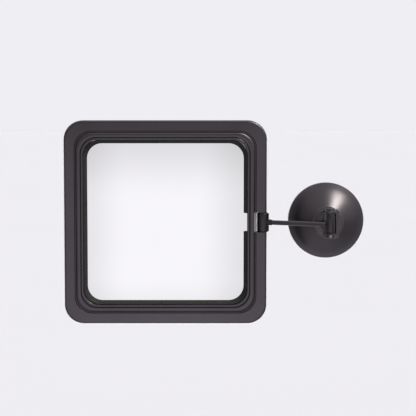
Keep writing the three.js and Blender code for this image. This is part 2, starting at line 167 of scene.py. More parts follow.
def turned(profile, axis, at=ORIGIN, segments=96):
    """A turned solid. Profile points are (radius, distance along the axis).

    The profile starts and ends on the axis, or else it closes on itself.
    """
    side = axis.orthogonal().normalized()
    up = axis.cross(side)
    bm = bmesh.new()
    rings = []
    for radius, along in profile:
        centre = at + axis * along
        if radius < ON_AXIS:
            rings.append([bm.verts.new(centre)])
            continue
        ring = []
        for i in range(segments):
            angle = 2 * math.pi * i / segments
            spoke = side * math.cos(angle) + up * math.sin(angle)
            ring.append(bm.verts.new(centre + spoke * radius))
        rings.append(ring)
    for ring_a, ring_b in zip(rings, rings[1:]):
        skin(bm, ring_a, ring_b)
    if profile[0][0] > ON_AXIS:
        skin(bm, rings[-1], rings[0])
    return to_mesh(bm)


def rod(radius, start, end, axis, at=ORIGIN, segments=48):
    """A plain cylinder between two distances along the axis."""
    return turned([(0, start), (radius, start), (radius, end), (0, end)], axis, at, segments)


def loft(paths, capped):
    """A skin through closed paths of equal length, ended with caps or closed back on the first."""
    bm = bmesh.new()
    rings = [[bm.verts.new(point) for point in path] for path in paths]
    for ring_a, ring_b in zip(rings, rings[1:]):
        skin(bm, ring_a, ring_b)
    if capped:
        bm.faces.new(rings[0])
        bm.faces.new(rings[-1])
    else:
        skin(bm, rings[-1], rings[0])
    return to_mesh(bm)


def plate(outline, along, thick, at=ORIGIN):
    """A flat plate of the given thickness. Outline points are (distance along, height)."""
    half = along.cross(Z) * (thick / 2)
    middle = [at + along * u + Z * v for u, v in outline]
    return loft([[p - half for p in middle], [p + half for p in middle]], capped=True)


def block(low, high, rounding=0.0):
    """A box between two corners, its edges rounded."""
    low, high = Vector(low), Vector(high)
    bm = bmesh.new()
    bmesh.ops.create_cube(bm, size=1)
    size = high - low
    bmesh.ops.transform(bm, matrix=Matrix.Diagonal((*size, 1)), verts=bm.verts)
    bmesh.ops.translate(bm, vec=(low + high) / 2, verts=bm.verts)
    if rounding:
        bmesh.ops.bevel(
            bm, geom=bm.edges[:], offset=rounding, segments=3, profile=0.5, affect="EDGES"
        )
    return to_mesh(bm)


def combined(mesh, others, operation):
    """Joins solids to a solid or cuts them out of it."""
    base = bpy.data.objects.new("base", mesh)
    scene.collection.objects.link(base)
    tools = []
    for other in others:
        tool = bpy.data.objects.new("tool", other)
        scene.collection.objects.link(tool)
        tools.append(tool)
        modifier = base.modifiers.new("boolean", "BOOLEAN")
        modifier.operation = operation
        modifier.solver = "EXACT"
        modifier.object = tool
    evaluated = base.evaluated_get(bpy.context.evaluated_depsgraph_get())
    result = bpy.data.meshes.new_from_object(evaluated)
    for obj in [base, *tools]:
        data = obj.data
        bpy.data.objects.remove(obj)
        bpy.data.meshes.remove(data)
    return result


def joined(mesh, *others):
    return combined(mesh, others, "UNION")


def cut(mesh, *others):
    return combined(mesh, others, "DIFFERENCE")


def round_edges(mesh, width, chosen):
    """Rounds the sharp edges for which chosen(middle of the edge) is true."""
    bm = bmesh.new()
    bm.from_mesh(mesh)
    edges = []
    for edge in bm.edges:
        middle = (edge.verts[0].co + edge.verts[1].co) / 2
        sharp = len(edge.link_faces) == 2 and edge.calc_face_angle(0) > SHARP_EDGE
        if sharp and chosen(middle):
            edges.append(edge)
    bmesh.ops.bevel(
        bm, geom=edges, offset=width, segments=2, profile=0.5, affect="EDGES", clamp_overlap=True
    )
    bm.to_mesh(mesh)
    bm.free()
    return mesh


def moved(mesh, matrix):
    mesh.transform(matrix)
    return mesh


def piece(name, mesh, material, *nodes, sharp=32):
    """Makes a visible piece that stands for CAD nodes and rides with their body.

    Edges that turn by more than `sharp` degrees are shaded as creases.
    """
    mesh.transform(Matrix.Scale(MM, 4))
    mesh.materials.clear()
    mesh.materials.append(material)
    mesh.shade_smooth()
    mesh.set_sharp_from_angle(angle=math.radians(sharp))
    mesh.name = name
    obj = bpy.data.objects.new(name, mesh)
    scene.collection.objects.link(obj)
    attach(obj, body_of[nodes[0]])
    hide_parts(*nodes)
    return obj


# ---- Materials ----

CLOUD_SCALE = 14
GRAIN_DEPTH = 0.00004


def new_material(name, slot_name):
    """A material marked with the record's slot that it belongs to."""
    material = bpy.data.materials.new(name)
    material.use_nodes = True
    material["slot"] = slot_name
    return material, material.node_tree, material.node_tree.nodes["Principled BSDF"]


def noise(tree, scale, detail=3.0, stretch=(1, 1, 1)):
    """A noise value over the piece's own coordinates."""
    place = tree.nodes.new("ShaderNodeTexCoord")
    mapping = tree.nodes.new("ShaderNodeMapping")
    mapping.inputs["Scale"].default_value = stretch
    texture = tree.nodes.new("ShaderNodeTexNoise")
    texture.inputs["Scale"].default_value = scale
    texture.inputs["Detail"].default_value = detail
    tree.links.new(place.outputs["Object"], mapping.inputs["Vector"])
    tree.links.new(mapping.outputs["Vector"], texture.inputs["Vector"])
    return texture.outputs["Fac"]


def spread(tree, value, low, high):
    """The noise's middle range carried to low..high."""
    node = tree.nodes.new("ShaderNodeMapRange")
    node.inputs["From Min"].default_value = 0.3
    node.inputs["From Max"].default_value = 0.7
    node.inputs["To Min"].default_value = low
    node.inputs["To Max"].default_value = high
    tree.links.new(value, node.inputs["Value"])
    return node.outputs["Result"]


def two_tone(tree, value, dark, light):
    """A colour that drifts between two close tones with the noise."""
    ramp = tree.nodes.new("ShaderNodeValToRGB")
    ramp.color_ramp.elements[0].position = 0.35
    ramp.color_ramp.elements[1].position = 0.65
    ramp.color_ramp.elements[0].color = (*dark, 1)
    ramp.color_ramp.elements[1].color = (*light, 1)
    tree.links.new(value, ramp.inputs["Fac"])
    return ramp.outputs["Color"]


def add_bump(tree, shader, height, strength, depth):
    """Relief from the noise, its depth in metres."""
    bump = tree.nodes.new("ShaderNodeBump")
    bump.inputs["Strength"].default_value = strength
    bump.inputs["Distance"].default_value = depth
    tree.links.new(height, bump.inputs["Height"])
    tree.links.new(bump.outputs["Normal"], shader.inputs["Normal"])


def satin_metal(name, slot_name, dark, light, roughness, grain, bump):
    """Satin metal: faint clouding in colour over a fine grain that varies the sheen."""
    material, tree, shader = new_material(name, slot_name)
    shader.inputs["Metallic"].default_value = 1.0
    clouds = noise(tree, CLOUD_SCALE, 4)
    fine = noise(tree, grain, 2)
    tree.links.new(two_tone(tree, clouds, dark, light), shader.inputs["Base Color"])
    tree.links.new(spread(tree, fine, *roughness), shader.inputs["Roughness"])
    add_bump(tree, shader, fine, bump, GRAIN_DEPTH)
    return material


def plain_matte(name, slot_name, dark, light, roughness, grain, bump, depth):
    """Moulded, painted or foamed material with a fine grain."""
    material, tree, shader = new_material(name, slot_name)
    fine = noise(tree, grain, 4)
    coarse = noise(tree, grain * 0.2)
    tree.links.new(two_tone(tree, fine, dark, light), shader.inputs["Base Color"])
    tree.links.new(spread(tree, coarse, *roughness), shader.inputs["Roughness"])
    add_bump(tree, shader, fine, bump, depth)
    return material


def silvered_glass():
    """The mirror's face: bright silver under glass, with the faintest trace of wiping."""
    material, tree, shader = new_material("mirror_face", "mirror_glass")
    shader.inputs["Metallic"].default_value = 1.0
    wiped = noise(tree, 9, 3, (1, 1, 3))
    tree.links.new(
        two_tone(tree, wiped, (0.955, 0.95, 0.965), (0.965, 0.96, 0.975)), shader.inputs["Base Color"]
    )
    tree.links.new(spread(tree, wiped, 0.0, 0.012), shader.inputs["Roughness"])
    return material


gunmetal = satin_metal(
    "satin_gunmetal",
    "gunmetal",
    dark=(0.101, 0.090, 0.101),
    light=(0.115, 0.103, 0.116),
    roughness=(0.29, 0.37),
    grain=2600,
    bump=0.05,
)
# The gunmetal made darker for the two barrels: painted shade for where they sit sunk in the frame's
# slot and the fork's mouth.
gunmetal_painted_shade = satin_metal(
    "gunmetal_painted_shade",
    "gunmetal",
    dark=(0.066, 0.058, 0.066),
    light=(0.076, 0.067, 0.076),
    roughness=(0.30, 0.38),
    grain=2600,
    bump=0.05,
)
steel = satin_metal(
    "satin_steel",
    "bare_steel",
    dark=(0.40, 0.38, 0.38),
    light=(0.48, 0.46, 0.45),
    roughness=(0.26, 0.40),
    grain=1800,
    bump=0.06,
)
# The bare steel made darker for the spring strip: painted shade that tones down the highlight on its
# rounded edge in the slot.
spring_steel_painted_shade = satin_metal(
    "spring_steel_painted_shade",
    "bare_steel",
    dark=(0.29, 0.29, 0.27),
    light=(0.34, 0.34, 0.32),
    roughness=(0.30, 0.42),
    grain=1800,
    bump=0.06,
)
nylon = plain_matte(
    "moulded_nylon",
    "nylon",
    dark=(0.018, 0.017, 0.019),
    light=(0.030, 0.028, 0.031),
    roughness=(0.44, 0.56),
    grain=1500,
    bump=0.15,
    depth=0.0001,
)
rubber = plain_matte(
    "rubber",
    "rubber",
    dark=(0.010, 0.010, 0.011),
    light=(0.018, 0.018, 0.019),
    roughness=(0.69, 0.81),
    grain=900,
    bump=0.2,
    depth=0.0001,
)
foam = plain_matte(
    "foam",
    "foam",
    dark=(0.60, 0.59, 0.56),
    light=(0.72, 0.71, 0.68),
    roughness=(0.84, 0.96),
    grain=700,
    bump=0.6,
    depth=0.0003,
)
backing_paint = plain_matte(
    "mirror_backing_paint",
    "mirror_glass",
    dark=(0.10, 0.11, 0.11),
    light=(0.14, 0.15, 0.15),
    roughness=(0.39, 0.51),
    grain=600,
    bump=0.1,
    depth=0.00005,
)
mirror_face = silvered_glass()

# ---- Wall plate and rose, in distances from the wall ----

PLATE_R = 26.0
PLATE_THICK = 3.0
PLATE_RIM_TOP = 7.0
PLATE_RIM_WIDE = 2.2
WALL_SCREW_X = 17.0
WALL_SCREW_HOLE_R = 2.25
WALL_SCREW_HEAD_R = 4.45
ROSE_R = 37.95
ROSE_SHELL = 1.6
NECK_R = 13.9
ROSE_TOP = 24.0
NECK_FLOOR = 21.6
GRUB_HEIGHT = 1.9
GRUB_R = 1.0
BOLT_R = 2.8
BOLT_HEAD_R = 4.6
BOLT_HEAD_BACK = 17.2
BOLT_HEAD_FRONT = 21.3
BOLT_END = 45.6
COLLAR_BACK = 24.3
COLLAR_FRONT = 36.0
COLLAR_R = 14.8


def make_wall_plate():
    """A shallow dish with two countersunk screw holes."""
    at = back_centre("wall_plate")
    rim = PLATE_R - PLATE_RIM_WIDE
    profile = rounded(
        [
            (0, 0),
            (PLATE_R, 0, 0.3),
            (PLATE_R, PLATE_RIM_TOP, 0.4),
            (rim, PLATE_RIM_TOP, 0.4),
            (rim, PLATE_THICK, 0.6),
            (0, PLATE_THICK),
        ],
        closed=False,
    )
    countersink = [
        (0, -1),
        (WALL_SCREW_HOLE_R, -1),
        (WALL_SCREW_HOLE_R, 1.2),
        (WALL_SCREW_HEAD_R, 3.4),
        (WALL_SCREW_HEAD_R, 4),
        (0, 4),
    ]
    holes = [turned(countersink, -Y, at + X * x, 48) for x in (-WALL_SCREW_X, WALL_SCREW_X)]
    return cut(turned(profile, -Y, at, 128), *holes)


def make_rose():
    """A hollow dome with a short upright rim and a neck, and a boss for its locking screw."""
    at = back_centre("rose")
    outside = smooth_curve(
        [
            (ROSE_R, 0.2), (ROSE_R, 2.2), (ROSE_R, 3.2), (37.75, 4), (37.2, 4.8), (36.2, 5.8),
            (34.3, 7.7), (31.9, 9.9), (29, 12.2), (25.5, 14.7), (22, 17), (18.5, 19.2),
            (15.6, 20.95), (14.9, 21.5), (14.4, 22.2), (14.1, 23), (NECK_R, ROSE_TOP),
        ]
    )
    roof = smooth_curve(
        [(14.2, 19.8), (21.2, 15.5), (24.7, 13.2), (28, 10.8), (31, 8.5), (33.5, 6.3), (35.4, 4.2)]
    )
    bore = BOLT_R + 0.4
    neck = [(bore, ROSE_TOP), (bore, NECK_FLOOR), (12.4, NECK_FLOOR)]
    rim = [(ROSE_R - ROSE_SHELL, 2.8), (ROSE_R - ROSE_SHELL, 0), (ROSE_R - 0.2, 0)]
    shell = turned([*outside, *neck, *roof, *rim], -Y, at, 192)
    grub_at = at - Y * GRUB_HEIGHT
    boss = rod(1.8, PLATE_R + 0.4, ROSE_R - 0.8, -Z, grub_at)
    hole = rod(GRUB_R + 0.15, 20, 41, -Z, grub_at)
    return cut(joined(shell, boss), hole)


def hex_socket(across_corners, top, depth, axis, at):
    """A cutter for a hexagonal drive sunk into a screw's end."""
    return rod(across_corners / 2, top - depth, top + 1, axis, at, 6)


def make_rose_grub_screw():
    at = Vector((0, -GRUB_HEIGHT, 0))
    start = PLATE_R + 0.3
    end = ROSE_R - 1
    profile = rounded(
        [(0, start), (GRUB_R, start, 0.2), (GRUB_R, end, 0.15), (0, end)], closed=False
    )
    return cut(turned(profile, -Z, at, 32), hex_socket(1.1, end, 1.6, -Z, at))


def make_centre_bolt():
    profile = rounded(
        [
            (0, BOLT_HEAD_BACK),
            (BOLT_HEAD_R, BOLT_HEAD_BACK, 0.5),
            (BOLT_HEAD_R, BOLT_HEAD_FRONT, 0.2),
            (BOLT_R, BOLT_HEAD_FRONT),
            (BOLT_R, BOLT_END, 0.4),
            (0, BOLT_END),
        ],
        closed=False,
    )
    socket = rod(2.9, BOLT_HEAD_BACK - 1.2, BOLT_HEAD_BACK + 2.2, -Y, segments=6)
    return cut(turned(profile, -Y, segments=48), socket)


def make_collar():
    """A round collar with a shadow gap where it meets the rose."""
    bore = BOLT_R + 0.4
    foot = NECK_R - 0.4
    profile = rounded(
        [
            (bore, COLLAR_BACK),
            (foot, COLLAR_BACK),
            (foot, COLLAR_BACK + 1.6, 0.2),
            (COLLAR_R, COLLAR_BACK + 2.0, 0.4),
            (COLLAR_R, COLLAR_FRONT, 2.2),
            (bore, COLLAR_FRONT),
        ],
        steps=6,
    )
    return turned(profile, -Y, segments=128)


# ---- Knuckle, in heights from its middle ----

FORK_BACK = 36.3
FORK_THROAT = 48.4
FORK_TOP = 14.2
FORK_BOTTOM = -13.1
FORK_EDGE = 1.0
FORK_FOOT_R = 11.6
MOUTH_TOP = 11.4
MOUTH_BOTTOM = -8.3
WEB_INNER = 5.5
WEB_OUTER = 8.5
WEB_SETBACK = 1.0
WEB_CORNER = 1.2
EAR_R = 5.2
PIVOT_R = 2.0
PIVOT_HEAD_R = 4.0
LOCK_SCREW_Z = -10.9
LOCK_SCREW_R = 1.4
KNUCKLE_WASHER_R = 4.2
UPPER_WASHER = 1.8
LOWER_WASHER = 0.6


def fork_outline(inset):
    """Plan of the fork about the pivot: straight back, round nose, web set back on the right."""
    nose_steps = 24
    corner_steps = 8
    back = -KNUCKLE.y - FORK_BACK - 3
    nose = EAR_R - inset
    right = WEB_OUTER - inset
    front = WEB_SETBACK + inset
    corner = WEB_CORNER - inset * 0.5
    points = [(right, back), (-nose, back)]
    for step in range(nose_steps + 1):
        angle = math.pi * (1 + step / nose_steps)
        points.append((nose * math.cos(angle), nose * math.sin(angle)))
    points.append((nose, front))
    for step in range(corner_steps + 1):
        angle = math.pi / 2 * (3 + step / corner_steps)
        across = right - corner + corner * math.cos(angle)
        points.append((across, front + corner + corner * math.sin(angle)))
    return points


def fork_block():
    """The outline run from foot to top, its upper and lower edges rounded."""
    edge_steps = 6
    angles = [math.pi / 2 * step / edge_steps for step in range(edge_steps + 1)]
    levels = []
    for angle in angles:
        inset = FORK_EDGE * (1 - math.sin(angle))
        levels.append((inset, FORK_BOTTOM + FORK_EDGE * (1 - math.cos(angle))))
    for angle in angles:
        inset = FORK_EDGE * (1 - math.cos(angle))
        levels.append((inset, FORK_TOP - FORK_EDGE * (1 - math.sin(angle))))
    return loft([[(x, y, z) for x, y in fork_outline(inset)] for inset, z in levels], capped=True)


def make_fork():
    """The block on its round foot, with its mouth, pivot hole and screw holes cut."""
    foot_front = FORK_BACK + 4
    foot = rounded(
        [
            (0, FORK_BACK),
            (FORK_FOOT_R, FORK_BACK, 0.4),
            (FORK_FOOT_R, foot_front, 0.9),
            (0, foot_front),
        ],
        closed=False,
    )
    throat = -KNUCKLE.y - FORK_THROAT
    wall_centre = Y * -KNUCKLE.y

    def round_mouth(middle):
        return middle.y < throat + 0.1 and MOUTH_BOTTOM - 0.1 < middle.z < MOUTH_TOP + 0.1

    fork = joined(fork_block(), turned(foot, -Y, wall_centre, 96))
    fork = cut(fork, block((-20, -20, MOUTH_BOTTOM), (WEB_INNER, throat, MOUTH_TOP)))
    fork = round_edges(fork, 0.3, round_mouth)
    fork = cut(
        fork,
        rod(PIVOT_R + 0.2, -20, 20, Z),
        rod(LOCK_SCREW_R + 0.1, PIVOT_R - 0.5, 8, -Y, Z * LOCK_SCREW_Z),
        rod(BOLT_R + 0.3, 30, 46, -Y, wall_centre),
    )
    return moved(fork, Matrix.Translation(KNUCKLE))


def make_pivot_screw():
    foot = FORK_BOTTOM - 0.5
    seat = FORK_TOP + 0.2
    top = seat + 2
    profile = rounded(
        [
            (0, foot),
            (PIVOT_R, foot, 0.5),
            (PIVOT_R, seat),
            (PIVOT_HEAD_R, seat, 0.15),
            (PIVOT_HEAD_R, seat + 1.3, 0.6),
            (PIVOT_HEAD_R - 1, top, 0.4),
            (0, top),
        ],
        closed=False,
    )
    return cut(turned(profile, Z, KNUCKLE, 64), hex_socket(2.9, top, 1.3, Z, KNUCKLE))


def make_pivot_lock_screw():
    at = KNUCKLE + Z * LOCK_SCREW_Z
    start = PIVOT_R + 0.1
    end = EAR_R - 0.5
    profile = rounded(
        [(0, start), (LOCK_SCREW_R, start, 0.2), (LOCK_SCREW_R, end, 0.25), (0, end)], closed=False
    )
    return cut(turned(profile, -Y, at, 32), hex_socket(1.5, end, 1.2, -Y, at))


def washer(inner, outer, thick, axis, at):
    edge = min(0.15, thick / 3)
    profile = rounded(
        [(inner, 0, edge), (outer, 0, edge), (outer, thick, edge), (inner, thick, edge)], steps=3
    )
    return turned(profile, axis, at, 64)


# ---- Arm ----

BARREL_TOP = MOUTH_TOP - UPPER_WASHER - 0.2
BARREL_BOTTOM = MOUTH_BOTTOM + LOWER_WASHER + 0.2
ARM_BARREL_R = 4.5
ROD_R = 2.3
SPIGOT_R = 1.6
ROD_SHOULDER = 9.7
RIB_REACH = 10.4
RIB_THICK = 2.4


def make_arm_barrel():
    bore = PIVOT_R + 0.3
    profile = rounded(
        [
            (bore, BARREL_BOTTOM),
            (ARM_BARREL_R, BARREL_BOTTOM, 0.45),
            (ARM_BARREL_R, BARREL_TOP, 0.45),
            (bore, BARREL_TOP),
        ]
    )
    barrel = turned(profile, Z, KNUCKLE, 96)
    return cut(barrel, rod(SPIGOT_R + 0.2, 1, 6, ROD, KNUCKLE))


def make_arm_rod():
    """The rod with a rib under its wall end and a thinner spigot at both ends."""
    shoulder = ARM_LENGTH - ROD_SHOULDER
    tip = ARM_LENGTH - 3
    profile = rounded(
        [
            (0, 1),
            (ROD_R, 1),
            (ROD_R, shoulder, 0.3),
            (SPIGOT_R, shoulder),
            (SPIGOT_R, tip, 0.2),
            (0, tip),
        ],
        closed=False,
    )
    clear = ARM_BARREL_R + 0.2
    rib_foot = BARREL_BOTTOM + 0.2
    rib_outline = [(2, 0), (2, rib_foot), (clear, rib_foot), (RIB_REACH, -2), (RIB_REACH, 0)]
    rib = plate(rib_outline, ROD, RIB_THICK, KNUCKLE)
    shaft = joined(turned(profile, ROD, KNUCKLE, 96), rib)
    shaft = cut(shaft, rod(clear, -10, 10, Z, KNUCKLE, 96))
    return joined(shaft, rod(SPIGOT_R, 2.8, 10, ROD, KNUCKLE))


# ---- Tilt head ----

PIVOT_BARREL_R = 5.9
PIVOT_BARREL_HALF = 9.1
BOSS_R = 2.9
BOSS_END = 8.9
PIN_R = 1.5
PIN_HALF = 15.0
TILT_SCREW_R = 0.85
TILT_SCREW_AT = 7.0
ROD_WASHER_R = 2.6
ROD_WASHER = 0.6
HINGE_WASHER_R = 4.4
HINGE_WASHER = 0.5


def make_pivot_barrel():
    """The upright barrel with a side boss that the rod's spigot turns in."""
    half = PIVOT_BARREL_HALF
    body = rounded(
        [(0, -half), (PIVOT_BARREL_R, -half, 0.6), (PIVOT_BARREL_R, half, 0.6), (0, half)],
        closed=False,
        steps=5,
    )
    boss = rounded([(0, 0), (BOSS_R, 0), (BOSS_R, BOSS_END, 0.35), (0, BOSS_END)], closed=False)
    barrel = joined(turned(body, Z, HINGE, 128), turned(boss, -ROD, HINGE, 64))
    return cut(
        barrel,
        rod(PIN_R + 0.2, -12, 12, Z, HINGE),
        rod(SPIGOT_R + 0.2, 2.7, 12, -ROD, HINGE),
        rod(TILT_SCREW_R + 0.15, 0, 5, -Z, HINGE - ROD * TILT_SCREW_AT, 32),
    )


def make_tilt_grub_screw():
    at = HINGE - ROD * TILT_SCREW_AT
    start = SPIGOT_R + 0.15
    end = BOSS_R - 0.2
    profile = rounded(
        [(0, start), (TILT_SCREW_R, start), (TILT_SCREW_R, end, 0.12), (0, end)], closed=False
    )
    return cut(turned(profile, -Z, at, 32), hex_socket(0.9, end, 0.8, -Z, at))


def make_hinge_pin():
    profile = rounded(
        [(0, -PIN_HALF), (PIN_R, -PIN_HALF, 0.35), (PIN_R, PIN_HALF, 0.35), (0, PIN_HALF)],
        closed=False,
    )
    return turned(profile, Z, HINGE, 48)


# ---- Mirror frame ----
# Insets run inwards from the outer edge, depths run back from the flange's front plane, and
# meshes are made about the middle of that plane, FACE, and then moved to it.

FRAME_DEPTH = 14.0
HALF_WIDE = 100.0
HALF_TALL = 100.6
CORNER_R = 19.0
CORNER_TAPER = 4 / 22.5
CORNER_STEPS = 20
FLANGE_THICK = 2.6
SKIRT_THICK = 2.0
SKIRT_MIDDLE = 9.0
RIB_OUTER = 15.8
LIP_INSET = 17.4
LIP_DEPTH = 10.2
LEDGE_INSET = 19.0
LEDGE_DEPTH = 6.2
SLOT_HALF = 9.8
SLOT_INSET = 12.6
NOTCH_HALF = 9.2
AXIS_INSET = 3.5
AXIS_DEPTH = 5.5
POST_OFFSET = 88.0
BEAD_INSET = 22.6
GLASS_INSET = 17.7
GLASS_FRONT = 6.4
GLASS_BACK = 10.3
PAD_INSET = 19.0
PAD_FRONT = 10.6
PAD_BACK = 11.8
COVER_INSET = 2.3
COVER_FRONT = 12.1
COVER_BACK = 13.6
SPRING_INSET = 9.8
SPRING_SCREW_INSET = 14.0
SPRING_SCREW_Z = 12.8

frame_low, frame_high = cad_box("mirror_frame")
FACE = Vector(
    ((frame_low.x + frame_high.x) / 2, frame_high.y - FRAME_DEPTH, (frame_low.z + frame_high.z) / 2)
)

cover_corners = [
    ("upper_right", 1, 1),
    ("upper_left", -1, 1),
    ("lower_left", -1, -1),
    ("lower_right", 1, -1),
]


def square_path(inset):
    """The rounded square at an inset from the frame's outer edge, as (x, z)."""
    radius = CORNER_R - CORNER_TAPER * inset
    centre_x = HALF_WIDE - inset - radius
    centre_z = HALF_TALL - inset - radius
    path = []
    for quarter in range(4):
        middle = math.pi * (0.25 + quarter / 2)
        cx = math.copysign(centre_x, math.cos(middle))
        cz = math.copysign(centre_z, math.sin(middle))
        for step in range(CORNER_STEPS + 1):
            angle = math.pi / 2 * (quarter + step / CORNER_STEPS)
            path.append((cx + radius * math.cos(angle), cz + radius * math.sin(angle)))
    return path


def square_loft(section, capped):
    """An (inset, depth) section carried round the square, as a ring or as a capped slab."""
    paths = [[(x, depth, z) for x, z in square_path(inset)] for inset, depth in section]
    return loft(paths, capped)


def side_block(inset_a, inset_b, depth_a, depth_b, low_z, high_z, rounding=0.0):
    """A block on the hinge side of the frame: insets across, depths back, heights up."""
    low = (HALF_WIDE - inset_b, depth_a, low_z)
    high = (HALF_WIDE - inset_a, depth_b, high_z)
    return block(low, high, rounding)


def post_at(side_x, side_z, depth=0.0):
    return Vector((side_x * POST_OFFSET, depth, side_z * POST_OFFSET))


def frame_section():
    """Skirt, slightly sloped flange, groove, raised band, ridge, ledge, lip and hollow."""
    flange = rounded(
        [(0, SKIRT_MIDDLE), (0, 0.45, 2.2), (2.8, 0.326), (9.9, 0.013), (10.2, 0)],
        closed=False,
        steps=8,
    )
    band = smooth_curve(
        [
            (10.2, 0), (10.5, 0.5), (10.7, 1.2), (11.1, 1.25), (11.5, 1.2), (11.8, 0.4),
            (12.2, -0.2), (12.8, -0.6), (13.6, -0.9), (14.5, -1), (15.3, -1), (16, -0.9),
            (16.4, -0.7),
        ]
    )
    ridge = smooth_curve(
        [
            (16.4, -0.7), (16.7, -1.3), (16.95, -2), (17.25, -2.45), (17.8, -2.6), (18.5, -2.6),
            (18.85, -2.4), (18.98, -1.6), (LEDGE_INSET, 0.5),
        ]
    )
    back = rounded(
        [
            (LEDGE_INSET, 0.5),
            (LEDGE_INSET, LEDGE_DEPTH, 0.15),
            (LIP_INSET, LEDGE_DEPTH),
            (LIP_INSET, LIP_DEPTH),
            (RIB_OUTER, LIP_DEPTH),
            (RIB_OUTER, FLANGE_THICK, 0.4),
            (SKIRT_THICK, FLANGE_THICK, 0.6),
            (SKIRT_THICK, FRAME_DEPTH, 0.2),
            (0, FRAME_DEPTH, 0.2),
            (0, SKIRT_MIDDLE),
        ],
        closed=False,
    )
    return [*flange, *band[1:-1], *ridge[:-1], *back[:-1]]


def make_frame():
    """The moulding with its screw posts and hinge lugs, slotted for the barrel."""
    ring = square_loft(frame_section(), capped=False)
    posts = []
    post_holes = []
    for _, side_x, side_z in cover_corners:
        at = post_at(side_x, side_z)
        posts.append(rod(3, 2, 11.8, Y, at, 32))
        post_holes.append(rod(1.25, 4.5, 20, Y, at, 24))
    lugs = []
    spring_holes = []
    for side in (-1, 1):
        near, far = sorted((side * SLOT_HALF, side * (PIN_HALF + 1)))
        lugs.append(side_block(0.6, 7.2, 1.5, 9.6, near, far))
        at = Vector((HALF_WIDE - SPRING_SCREW_INSET, 0, side * SPRING_SCREW_Z))
        spring_holes.append(rod(1.15, 0.2, 5, Y, at, 24))
    ring = joined(ring, *posts, *lugs)
    ring = cut(
        ring,
        *post_holes,
        *spring_holes,
        side_block(-2, SLOT_INSET, -6, 20, -SLOT_HALF, SLOT_HALF),
        side_block(SLOT_INSET - 1, 24, 0.7, 20, -NOTCH_HALF, NOTCH_HALF),
        rod(PIN_R + 0.15, -20, 20, Z, Vector((HALF_WIDE - AXIS_INSET, AXIS_DEPTH, 0)), 32),
    )
    return moved(ring, Matrix.Translation(FACE))


def make_gasket():
    """The bead between ridge and glass, left out where the notch shows the glass."""
    outer = LEDGE_INSET + 0.15
    section = rounded(
        [
            (outer, LEDGE_DEPTH),
            (outer, 0.85, 0.2),
            (outer + 0.5, 0.85, 0.2),
            (BEAD_INSET, 5.5, 0.3),
            (BEAD_INSET, LEDGE_DEPTH),
        ],
        steps=3,
    )
    notch = side_block(15, 26, -2, 10, -NOTCH_HALF, NOTCH_HALF)
    bead = cut(square_loft(section, capped=False), notch)
    return moved(bead, Matrix.Translation(FACE))


def slab(inset, front, back, edge):
    """A rounded-square slab whose edges are ground off."""
    section = [
        (inset + edge, front),
        (inset, front + edge),
        (inset, back - edge),
        (inset + edge, back),
    ]
    return moved(square_loft(section, capped=True), Matrix.Translation(FACE))


def make_cover():
    """The back panel. Its first and last rings keep the shading of its faces flat."""
    panel = square_loft(
        [
            (COVER_INSET + 1.5, COVER_FRONT),
            (COVER_INSET + 0.8, COVER_FRONT),
            (COVER_INSET + 0.2, COVER_FRONT + 0.05),
            (COVER_INSET, COVER_FRONT + 0.3),
            (COVER_INSET, COVER_BACK - 0.4),
            (COVER_INSET + 0.2, COVER_BACK - 0.1),
            (COVER_INSET + 0.6, COVER_BACK),
            (COVER_INSET + 1.3, COVER_BACK),
        ],
        capped=True,
    )
    screw_holes = [rod(1.5, 10, 16, Y, post_at(x, z), 32) for _, x, z in cover_corners]
    slot = side_block(-2, SLOT_INSET, 8, 18, -SLOT_HALF, SLOT_HALF)
    return moved(cut(panel, *screw_holes, slot), Matrix.Translation(FACE))


def make_cover_screw(side_x, side_z):
    """A domed screw with a cross cut in its head."""
    at = FACE + post_at(side_x, side_z, COVER_BACK + 0.2)
    shank = [(0, -7.6), (1.05, -7.3), (1.05, 0)]
    head = rounded([(2.5, 0), (2.5, 0.5), (2.2, 1.1, 0.6), (0, 1.3)], closed=False)
    across = block(at + Vector((-1.5, 0.6, -0.3)), at + Vector((1.5, 3, 0.3)))
    upright = block(at + Vector((-0.3, 0.6, -1.5)), at + Vector((0.3, 3, 1.5)))
    return cut(turned([*shank, *head], Y, at, 48), across, upright)


def make_spring():
    """A strip across the slot with a lip that bends back beside the barrel."""
    strip = side_block(SPRING_INSET, 15.4, 2.8, 3.8, -15.4, 15.4, 0.05)
    lip = side_block(SPRING_INSET, SPRING_INSET + 0.8, 2.9, 8, -8.6, 8.6, 0.05)
    holes = []
    for z in (-SPRING_SCREW_Z, SPRING_SCREW_Z):
        holes.append(rod(1.2, 2, 5, Y, Vector((HALF_WIDE - SPRING_SCREW_INSET, 0, z)), 24))
    return moved(cut(joined(strip, lip), *holes), Matrix.Translation(FACE))


def make_spring_screw(z):
    profile = rounded(
        [(0, 0.2), (0.95, 0.2), (0.95, 4), (1.45, 4, 0.1), (1.45, 5.1, 0.3), (0, 5.1)],
        closed=False,
    )
    return turned(profile, Y, FACE + Vector((HALF_WIDE - SPRING_SCREW_INSET, 0, z)), 32)


# ---- Pieces ----

piece("wall_plate_disc", make_wall_plate(), steel, "wall_plate")
piece("rose_cone", make_rose(), gunmetal, "rose")
piece("rose_locking_screw", make_rose_grub_screw(), steel, "rose_grub_screw")
piece("centre_bolt_body", make_centre_bolt(), steel, "centre_bolt")
piece("collar_ring", make_collar(), gunmetal, "collar")
piece("fork_body", make_fork(), gunmetal, "swivel_fork")
piece("pivot_screw_body", make_pivot_screw(), gunmetal, "pivot_screw")
piece("pivot_locking_screw", make_pivot_lock_screw(), steel, "pivot_lock_screw")
